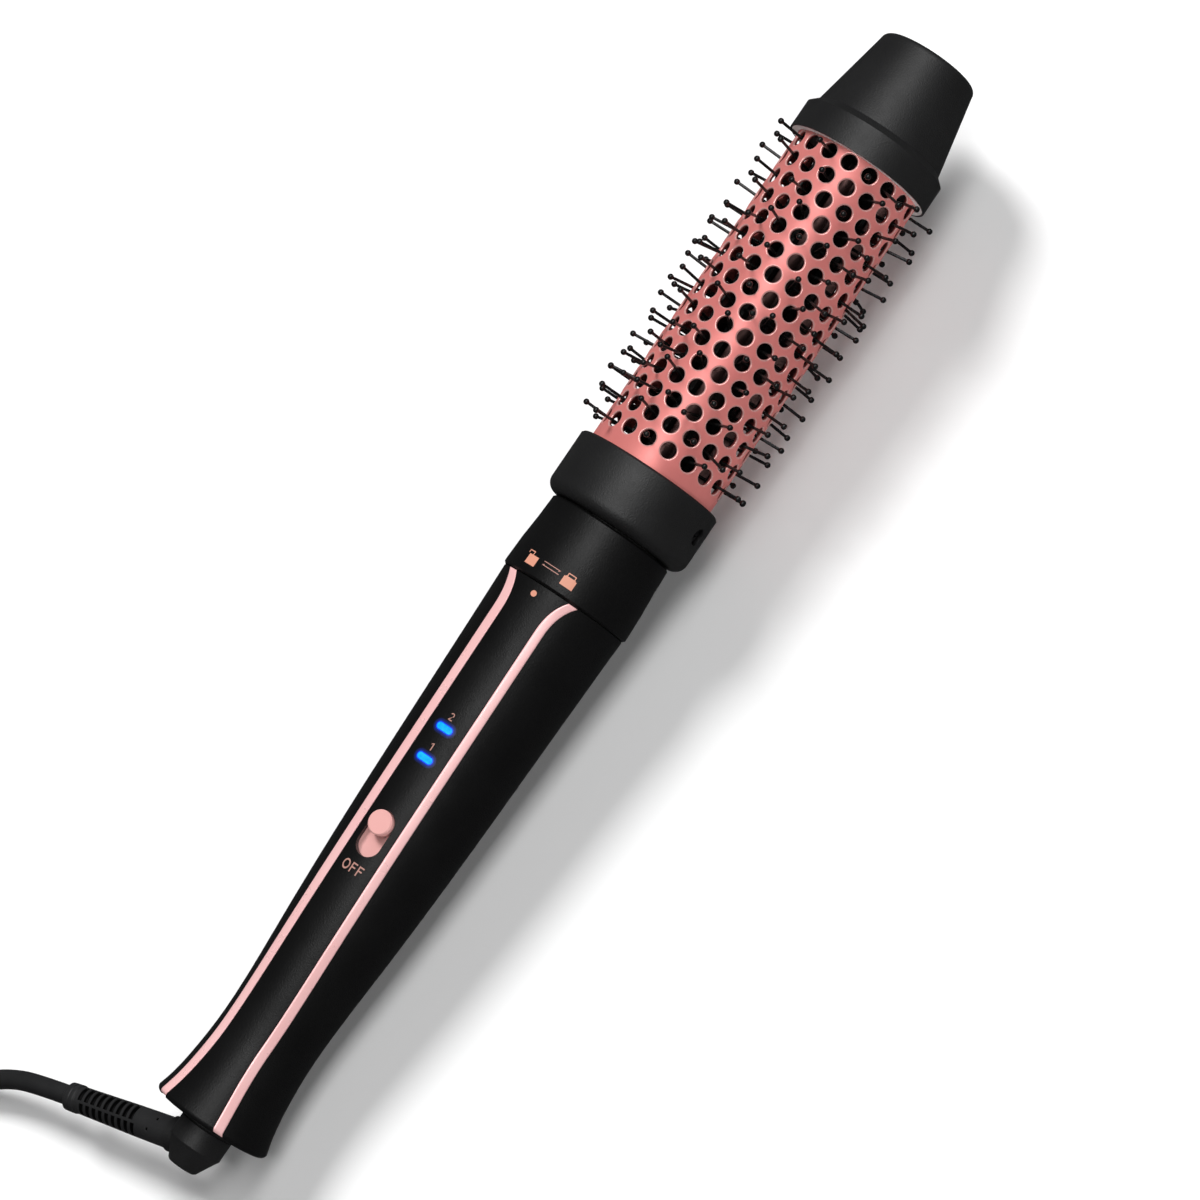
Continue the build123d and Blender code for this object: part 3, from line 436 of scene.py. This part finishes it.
def handle_radius(s):
    """The handle's outer radius, along a smooth curve through its outline."""
    s = min(max(s, HANDLE_OUTLINE[0][0]), HANDLE_OUTLINE[-1][0])
    for i, ((s0, r0), (s1, r1)) in enumerate(zip(HANDLE_OUTLINE, HANDLE_OUTLINE[1:])):
        if s <= s1:
            gap, t = s1 - s0, (s - s0) / (s1 - s0)
            m0, m1 = OUTLINE_SLOPES[i] * gap, OUTLINE_SLOPES[i + 1] * gap
            return (r0 * (1 + 2 * t) * (1 - t) ** 2 + m0 * t * (1 - t) ** 2
                    + r1 * t * t * (3 - 2 * t) + m1 * t * t * (t - 1))


def panel_half(s):
    """Half the panel's width, flared at both ends."""
    if FOOT_FLARE[-1][0] <= s <= TOP_FLARE[0][0]:
        return PANEL_HALF
    bend = FOOT_FLARE if s < FOOT_FLARE[-1][0] else TOP_FLARE
    low, high = 0.0, 1.0
    for _ in range(HALVINGS):
        t = (low + high) / 2
        x, y = ((1 - t) ** 2 * a + 2 * t * (1 - t) * b + t * t * c for a, b, c in zip(*bend))
        low, high = (t, high) if x < s else (low, t)
    return y


def make_trims():
    """Two metal-look strips with softened edges, a hair proud of the handle."""
    foot = HANDLE_OUTLINE[0][0]
    start, end = foot - TRIM_FOOT, HANDLE_OUTLINE[-1][0] - TRIM_TOP
    count = int((end - start) / TRIM_STEP) + 1
    for name, (side, wide) in TRIMS.items():
        points = []
        for row in range(count + 1):
            s = start + (end - start) * row / count
            radius = handle_radius(s)
            if s < foot:
                radius -= FOOT_ROUND - (FOOT_ROUND ** 2 - (foot - s) ** 2) ** 0.5
            inner, outer = panel_half(s) + TRIM_GAP / 2, panel_half(s) + wide - TRIM_GAP
            flat = outer - inner - 2 * TRIM_EDGE
            profile = [(inner, -TRIM_SUNK), (inner, -EDGE_DROP)]
            profile += [(inner + TRIM_EDGE + flat * k / TRIM_COLUMNS, TRIM_PROUD)
                        for k in range(TRIM_COLUMNS + 1)]
            profile += [(outer, -EDGE_DROP), (outer, -TRIM_SUNK)]
            points += [(s, side * y, ((radius + rise) ** 2 - y * y) ** 0.5) for y, rise in profile]
        across = len(profile)
        faces = [tuple(range(across)), tuple(range(count * across, (count + 1) * across))]
        for row in range(count):
            faces += ring_faces(row * across, (row + 1) * across, across)
        trim = add_mesh(name + "_strip", points, faces, HANDLE, MATERIALS["trim"])
        merge_close(trim.data)
        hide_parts(name)


# ---- printed marks ---------------------------------------------------------------------------------------
MARK_PROUD = 0.03
MARK_GRID = 0.35         # edges longer than this are split, so that a mark follows the surface
SPLIT_ROUNDS = 6
WRAP_R = 18.0            # the radius at which a mark's width becomes a turn
RAY_R = 30.0             # rays start this far out to find the surface
TREES = {}

# Each mark: its middle (along, turn), the node it lies on, the body it rides on, and its material.
MARKS = {
    "mark_off": ((77.8, 0.0), "front_panel", HANDLE, "ink"),
    "mark_1": ((115.7, 0.0), "front_panel", HANDLE, "ink"),
    "mark_2": ((125.1, 0.0), "front_panel", HANDLE, "ink"),
    "mark_dot": ((164.1, 0.0), "front_panel", HANDLE, "bright_ink"),
    "mark_open_padlock": ((171.3, 18.7), "lock_ring", LOCK_RING, "bright_ink"),
    "mark_closed_padlock": ((171.4, -19.1), "lock_ring", LOCK_RING, "bright_ink"),
    "mark_turn_arrows": ((172.3, -1.0), "lock_ring", LOCK_RING, "ink"),
}


def surface_tree(name):
    """The surface of a CAD node as it lies in the scene, made once."""
    if name not in TREES:
        work = bmesh.new()
        work.from_mesh(frame["nodes"][name].data)
        work.transform(frame["nodes"][name].matrix_world)
        TREES[name] = BVHTree.FromBMesh(work)
        work.free()
    return TREES[name]


def lay_on(name, outlines, at, nodes, body, material):
    """Flat polygons, drawn right and up of a place (along, turn), laid on the surface of some nodes."""
    work = bmesh.new()
    for outline in outlines:
        work.faces.new([work.verts.new((x, y, 0)) for x, y in outline])
    bmesh.ops.triangulate(work, faces=work.faces)
    for _ in range(SPLIT_ROUNDS):
        long_edges = [edge for edge in work.edges if edge.calc_length() > MARK_GRID]
        if not long_edges:
            break
        bmesh.ops.subdivide_edges(work, edges=long_edges, cuts=1)
        bmesh.ops.triangulate(work, faces=work.faces)
    along, turn = at
    trees = [surface_tree(node) for node in nodes]
    height = WRAP_R
    for vert in work.verts:
        place, angle = along + vert.co.y, radians(turn) - vert.co.x / WRAP_R
        outside = TOOL @ Vector((place, RAY_R * sin(angle), RAY_R * cos(angle)))
        inward = (tool(place) - outside).normalized()
        hits = [tree.ray_cast(outside, inward) for tree in trees]
        hits = [hit[3] / MM for hit in hits if hit[0] is not None]
        if hits:
            height = RAY_R - min(hits)
        vert.co = outside + inward * (RAY_R - height - MARK_PROUD) * MM
    mesh = bpy.data.meshes.new(name)
    work.to_mesh(mesh)
    work.free()
    if mesh.polygons[0].normal.dot(mesh.polygons[0].center - tool(along)) < 0:
        mesh.flip_normals()
    add_piece(name, mesh, body, material)


def box_outline(x0, y0, x1, y1):
    """An upright rectangle between two opposite corners."""
    return [(x0, y0), (x1, y0), (x1, y1), (x0, y1)]


def arc_band(x, y, radius, thick, start, end, steps, squeeze=1.0):
    """A bent band as a row of quads, angles in degrees anticlockwise from the right."""
    cuts = []
    for k in range(steps + 1):
        angle = radians(start + (end - start) * k / steps)
        cuts.append([(x + r * cos(angle), y + r * squeeze * sin(angle))
                     for r in (radius - thick / 2, radius + thick / 2)])
    return [[a_in, a_out, b_out, b_in] for (a_in, a_out), (b_in, b_out) in zip(cuts, cuts[1:])]


def letter_f(x, high, wide, thick):
    """The letter F as three bars."""
    return [box_outline(x, 0, x + thick, high), box_outline(x + thick, high - thick, x + wide, high),
            box_outline(x + thick, high * 0.47, x + wide * 0.88, high * 0.47 + thick)]


def mark_outlines():
    """The polygons of each mark, about its middle."""
    thick, high, letter = 0.40, 2.9, 1.75
    word = arc_band(-2.45, high / 2, 1.06, thick, 0, 360, 28, squeeze=1.18)
    word += letter_f(-0.60, high, letter, thick) + letter_f(1.80, high, letter, thick)
    one = [box_outline(-0.05, -1.08, 0.27, 1.08),
           [(-0.05, 1.08), (-0.55, 0.72), (-0.55, 0.42), (-0.05, 0.76)]]
    two = arc_band(0.0, 0.48, 0.48, 0.28, 165, -42, 16)
    two += [[(0.46, 0.26), (0.25, 0.08), (-0.66, -0.82), (-0.66, -1.08), (-0.34, -0.95)],
            box_outline(-0.66, -1.08, 0.66, -0.80)]
    dot = [(0.86 * cos(radians(15 * k)), 0.86 * sin(radians(15 * k))) for k in range(24)]
    thin = 0.26
    opened = [box_outline(-1.75, -1.39, 1.75, 1.39), box_outline(-0.62, 1.39, -0.62 + thin, 2.2),
              box_outline(-2.0, 2.2, -0.5, 2.2 + thin), box_outline(-2.39, 1.55, -2.39 + thin, 2.2)]
    opened += arc_band(-0.5, 2.2, thin / 2 + 0.01, thin, 0, 90, 5)
    opened += arc_band(-2.12, 2.2, 0.14, thin, 90, 180, 5)
    closed = [box_outline(-1.8, -1.42, 1.8, 1.2), box_outline(-1.45, 1.2, 1.45, 1.42),
              box_outline(-1.18, 1.42, -1.18 + thin, 2.2), box_outline(1.18 - thin, 1.42, 1.18, 2.2),
              box_outline(-0.98, 2.14, 0.98, 2.4)]
    closed += arc_band(-0.98, 2.2, 0.1, 0.2, 90, 180, 5) + arc_band(0.98, 2.2, 0.1, 0.2, 0, 90, 5)
    arrows = [box_outline(-2.6, 0.42, 2.6, 0.64), [(2.6, 0.64), (2.05, 0.42), (2.05, 0.12), (2.6, 0.42)],
              box_outline(-2.6, -0.64, 2.6, -0.42),
              [(-2.6, -0.64), (-2.05, -0.42), (-2.05, -0.12), (-2.6, -0.42)]]
    return {"mark_off": [[(x, y - high / 2) for x, y in quad] for quad in word], "mark_1": one, "mark_2": two,
            "mark_dot": [dot], "mark_open_padlock": opened, "mark_closed_padlock": closed,
            "mark_turn_arrows": arrows}


def make_marks():
    """OFF, 1, 2 and a dot on the panel, and two padlocks and two arrows on the ring."""
    outlines = mark_outlines()
    for name, (at, node, body, kind) in MARKS.items():
        lay_on(name, outlines[name], at, [node], body, MATERIALS[kind])


# ---- light that spills round the lamps -------------------------------------------------------------------
LED_S = (112.2, 121.6)
LED_LONG, LED_WIDE = 5.0, 1.8
# each ring: how far outside the window it starts and ends, and its strength
GLOW_STEPS = [(0.0, 0.22, 1.1), (0.22, 0.45, 0.42), (0.45, 0.75, 0.14), (0.75, 1.1, 0.045)]


def oblong_points(grow):
    """The lamp window's outline, grown by a margin."""
    straight, radius = (LED_LONG - LED_WIDE) / 2, LED_WIDE / 2 + grow
    points = []
    for side, middle in ((0, straight), (180, -straight)):
        for k in range(13):
            angle = radians(side - 90 + 15 * k)
            points.append((middle + radius * cos(angle), radius * sin(angle)))
    return points


def make_led_glow():
    """Rings of blue light round each lamp, fainter outwards."""
    for step, (inner, outer, strength) in enumerate(GLOW_STEPS):
        material, tree, shader = new_material(f"led_spill_{step}", (0.006, 0.008, 0.03), 0.4)
        blues = tint(tree, noise(tree, 700.0, 2.0), (0.0, 0.05, 1.0), (0.0, 0.075, 1.0))
        tree.links.new(blues, shader.inputs["Emission Color"])
        shader.inputs["Emission Strength"].default_value = strength
        a, b = oblong_points(inner), oblong_points(outer)
        quads = [[a[k], b[k], b[(k + 1) % len(a)], a[(k + 1) % len(a)]] for k in range(len(a))]
        for number, s in enumerate(LED_S, 1):
            nodes = ["front_panel", f"led_window_{number}"]
            lay_on(f"led_spill_{number}_{step}", quads, (s, 0.0), nodes, HANDLE, material)


# ---- the boot --------------------------------------------------------------------------------------------
BOOT_FROM = Vector((-6.0, 0.0, 0.0))
BOOT_DIR = Vector((-0.262, 0.960, -0.104)).normalized()
BOOT_TURN_FROM = Vector((1, 0, 0.2))     # sets where the boot's turns are counted from
BOOT_START, BOOT_LENGTH = 7.6, 35.4
# radius along the boot, with the grooved ring at its end
BOOT_PROFILE = [(0.0, 4.35), (12.4, 4.2), (31.6, 3.72), (31.75, 3.72), (31.9, 3.98), (33.1, 3.95),
                (33.22, 3.74), (33.5, 3.74), (33.62, 3.93), (35.2, 3.86), (35.4, 3.66)]
BOOT_STEPS, TURN_STEP = 60, 6
BOOT_DEGREE = 4.0 / 57.3     # millimetres round the boot to a degree
SLOT_SIDES, SLOT_COUNT, SLOT_FIRST, SLOT_PITCH, SLOT_FLOOR_R = 4, 9, 11.4, 2.2, 2.85
SLOT_STAGGER = 0.4       # every other side's slots start this share of a pitch further on
SLOT_HALF_LONG, SLOT_HALF_WIDE, SLOT_LIP = 0.73, 2.8, 0.18
MOULD_MARKS = [(4.4, 312.0), (6.4, 262.0)]
MARK_HALF_LONG, MARK_HALF_WIDE, MARK_FLOOR_R = 0.32, 0.42, 3.5


def boot_pockets():
    """Each pocket: its middle (along, turn), half its length and width, and the radius of its floor."""
    pockets = []
    for side in range(SLOT_SIDES):
        for index in range(SLOT_COUNT):
            along = SLOT_FIRST + SLOT_PITCH * (index + SLOT_STAGGER * (side % 2))
            pockets.append((along, 45 + 90 * side, SLOT_HALF_LONG, SLOT_HALF_WIDE, SLOT_FLOOR_R))
    for along, turn in MOULD_MARKS:
        pockets.append((along, turn, MARK_HALF_LONG, MARK_HALF_WIDE, MARK_FLOOR_R))
    return pockets


def boot_outline(along):
    """The boot's radius without its pockets."""
    for (a, r_a), (b, r_b) in zip(BOOT_PROFILE, BOOT_PROFILE[1:]):
        if along <= b:
            return r_a + (r_b - r_a) * (along - a) / (b - a)
    return BOOT_PROFILE[-1][1]


def boot_grid(pockets):
    """The places along and the turns where the boot has points, closest at the lips of its pockets."""
    alongs = {round(BOOT_LENGTH * k / BOOT_STEPS, 2) for k in range(BOOT_STEPS + 1)}
    alongs |= {along for along, _ in BOOT_PROFILE}
    turns = set(range(0, 360, TURN_STEP))
    for along, turn, half_long, half_wide, _ in pockets:
        for step in (0.0, SLOT_LIP / 3, 2 * SLOT_LIP / 3, SLOT_LIP):
            for sign in (-1, 1):
                alongs.add(round(along + sign * (half_long - step), 2))
                turns.add(round((turn + sign * (half_wide - step) / BOOT_DEGREE) % 360, 2))
    return sorted(alongs), sorted(turns)


def make_boot():
    """A tapered rubber boot with ladder slots, a grooved end ring and two mould marks; the floors of its
    pockets are painted near-black as shade.
    """
    pockets = boot_pockets()
    alongs, turns = boot_grid(pockets)
    across = BOOT_DIR.cross(BOOT_TURN_FROM).normalized()
    sideways = across.cross(BOOT_DIR)
    points, painted_shade_mask = [], []
    for along in alongs:
        outline = boot_outline(along)
        for turn in turns:
            radius = outline
            for middle, at, half_long, half_wide, floor in pockets:
                off = abs((turn - at + 180) % 360 - 180) * BOOT_DEGREE
                inside = min(min(half_long - abs(along - middle), half_wide - off) / SLOT_LIP, 1.0)
                if inside > 0:
                    radius = outline - (outline - floor) * inside * inside * (3 - 2 * inside)
            # points sunk past a pocket's lip, where the painted shade goes
            painted_shade_mask.append(outline - radius > SLOT_LIP)
            points.append(BOOT_FROM + BOOT_DIR * (BOOT_START + along)
                          + (sideways * cos(radians(turn)) + across * sin(radians(turn))) * radius)
    count = len(turns)
    faces = []
    for row in range(len(alongs) - 1):
        faces += ring_faces(row * count, (row + 1) * count, count)
    faces += [tuple(range(count)), tuple(range((len(alongs) - 1) * count, len(alongs) * count))]
    boot = add_mesh("slotted_boot", points, faces, CORD_END, MATERIALS["boot"])
    boot.data.materials.append(MATERIALS["boot_slot"])
    # faces wholly sunk past the pockets' lips take the near-black second material: painted shade on the
    # floors of the slots and mould marks
    boot.data.polygons.foreach_set("material_index", [int(all(painted_shade_mask[k] for k in face)) for face in faces])
    merge_close(boot.data)
    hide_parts("strain_relief")
    return boot


# ---- the cord, in the scene's own frame ------------------------------------------------------------------
CORD_R = 2.75
CORD_LIFT = 0.02         # the coil's clearance from the floor
COIL_X, COIL_Y = -260.0, 51.0
COIL_POINTS = 16         # to each turn
COIL_WANDER = 0.35       # how uneven a turn is
LAYER_RISE = 5.0
COIL_LAYERS = [(38.4, 32.8, 27.2, 21.6), (24.4, 30.0, 35.6), (34.8, 29.2)]
CORD_ROUTE = [(-182.29, 41.27, 11.86), (-184.6, 49.9, 10.82), (-187.8, 59.5, 9.0), (-194.0, 69.0, 5.6),
              (-203.5, 76.8, 3.4), (-215.5, 81.5, 2.77), (-228.5, 83.5, 2.77)]
COIL_FROM = 62.0         # the angle that every turn starts at
STEP_FROM = 0.78         # the share of a turn after which it steps to the next
TAIL = [(88, 13.9), (112, 16.2), (136, 19.8), (157, 22.3)]     # angle and height
TAIL_R, TAIL_ASIDE = 31.0, 3.0
PLUG_BACK = (-288.0, 55.0, 22.9)


def coil_points():
    """The coil's turns, wound anticlockwise, each a little uneven."""
    chance = Random(5)
    turns = [(radius, layer) for layer, radii in enumerate(COIL_LAYERS) for radius in radii]
    points = []
    for index, (radius, layer) in enumerate(turns):
        after = turns[index + 1] if index + 1 < len(turns) else (TAIL_R, layer)
        wander = [chance.uniform(-COIL_WANDER, COIL_WANDER) for _ in range(COIL_POINTS)]
        for k in range(COIL_POINTS):
            share = k / COIL_POINTS
            ease = max((share - STEP_FROM) / (1 - STEP_FROM), 0.0)
            ease = ease * ease * (3 - 2 * ease)
            r = radius + (after[0] - radius) * ease + wander[k]
            z = CORD_R + CORD_LIFT + LAYER_RISE * (layer + (after[1] - layer) * ease)
            angle = radians(COIL_FROM + 360.0 * share)
            points.append((COIL_X + r * cos(angle), COIL_Y + r * sin(angle), z))
    return points


def make_cord(boot):
    """One curve from the boot, down to the floor, round the coil and up to the plug."""
    tail_x = COIL_X + TAIL_ASIDE
    tail = [(tail_x + TAIL_R * cos(radians(a)), COIL_Y + TAIL_R * sin(radians(a)), z) for a, z in TAIL]
    points = CORD_ROUTE + coil_points() + tail + [PLUG_BACK]
    curve = bpy.data.curves.new("power_cord", "CURVE")
    curve.dimensions = "3D"
    curve.bevel_depth = CORD_R * MM
    curve.bevel_resolution = 6
    curve.resolution_u = 6
    curve.use_fill_caps = True
    spline = curve.splines.new("NURBS")
    spline.points.add(len(points) - 1)
    for point, place in zip(spline.points, points):
        point.co = (*[value * MM for value in place], 1.0)
    spline.use_endpoint_u = True
    spline.order_u = 3
    cord = bpy.data.objects.new("power_cord", curve)
    bpy.context.scene.collection.objects.link(cord)
    curve.materials.append(MATERIALS["cord"])
    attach(cord, CORD_END)
    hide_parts("cord_tube", "cord_coil", "cord_tail")


# ---- the floor and lights --------------------------------------------------------------------------------
FLOOR_HALF_M = 14.0
# each sun: the direction it shines from, its strength, and its spread in degrees
SUNS = {"key": ((0.50, 0.84, 1.0), 3.25, 20), "fill": ((-0.2, -1.0, 0.3), 1.4, 40)}
PANEL_AT, PANEL_AIM = tool(600, -6, 1350), tool(170)
PANEL_SIZE_M, PANEL_WATTS = (0.44, 2.0), 12.8
ROOM_COLOUR, ROOM_STRENGTH = (0.97, 0.98, 1.0, 1), 0.05


def make_floor():
    """A wide pale matt floor, kept out of the reflections in the blacks."""
    material, tree, shader = new_material("pale_floor", (0.86, 0.86, 0.86), 0.9)
    greys = tint(tree, noise(tree, 3.0, 2.0), (0.86, 0.86, 0.86), (0.875, 0.875, 0.875))
    tree.links.new(greys, shader.inputs["Base Color"])
    corners = [(x, y, 0) for x, y in box_outline(-FLOOR_HALF_M, -FLOOR_HALF_M, FLOOR_HALF_M, FLOOR_HALF_M)]
    mesh = bpy.data.meshes.new("floor")
    mesh.from_pydata(corners, [], [(0, 1, 2, 3)])
    mesh.materials.append(material)
    floor = bpy.data.objects.new("floor", mesh)
    bpy.context.scene.collection.objects.link(floor)
    floor.visible_glossy = False


def add_sun(name, toward, strength, spread):
    """Even light from one direction, kept out of the reflections in the blacks."""
    data = bpy.data.lights.new(name, "SUN")
    data.energy, data.angle = strength, radians(spread)
    sun = bpy.data.objects.new(name, data)
    sun.rotation_mode = "QUATERNION"
    sun.rotation_quaternion = Vector(toward).to_track_quat("Z", "Y")
    sun.visible_glossy = False
    bpy.context.scene.collection.objects.link(sun)


def add_panel():
    """A soft panel of light over the tool, its long side along it."""
    data = bpy.data.lights.new("over", "AREA")
    data.shape = "RECTANGLE"
    data.size, data.size_y = PANEL_SIZE_M
    data.energy = PANEL_WATTS
    light = bpy.data.objects.new("over", data)
    back = (PANEL_AT - PANEL_AIM).normalized()
    across = AXIS.cross(back).normalized()
    upward = back.cross(across)
    light.matrix_world = Matrix.Translation(PANEL_AT) @ Matrix((across, upward, back)).transposed().to_4x4()
    bpy.context.scene.collection.objects.link(light)


def make_lights():
    """A soft key from the left, a weaker fill from the right, a panel overhead and a little all round."""
    for name, (toward, strength, spread) in SUNS.items():
        add_sun(name, toward, strength, spread)
    add_panel()
    world = bpy.data.worlds.new("room")
    world.use_nodes = True
    background = world.node_tree.nodes["Background"]
    background.inputs["Color"].default_value = ROOM_COLOUR
    background.inputs["Strength"].default_value = ROOM_STRENGTH
    bpy.context.scene.world = world
    bpy.context.scene.view_settings.view_transform = "Standard"


# ---- making it all ---------------------------------------------------------------------------------------
make_camera()
MATERIALS = make_materials()
make_barrel()
make_trims()
make_marks()
make_led_glow()
make_cord(make_boot())
dress_nodes()
make_floor()
make_lights()

bpy.context.view_layer.update()
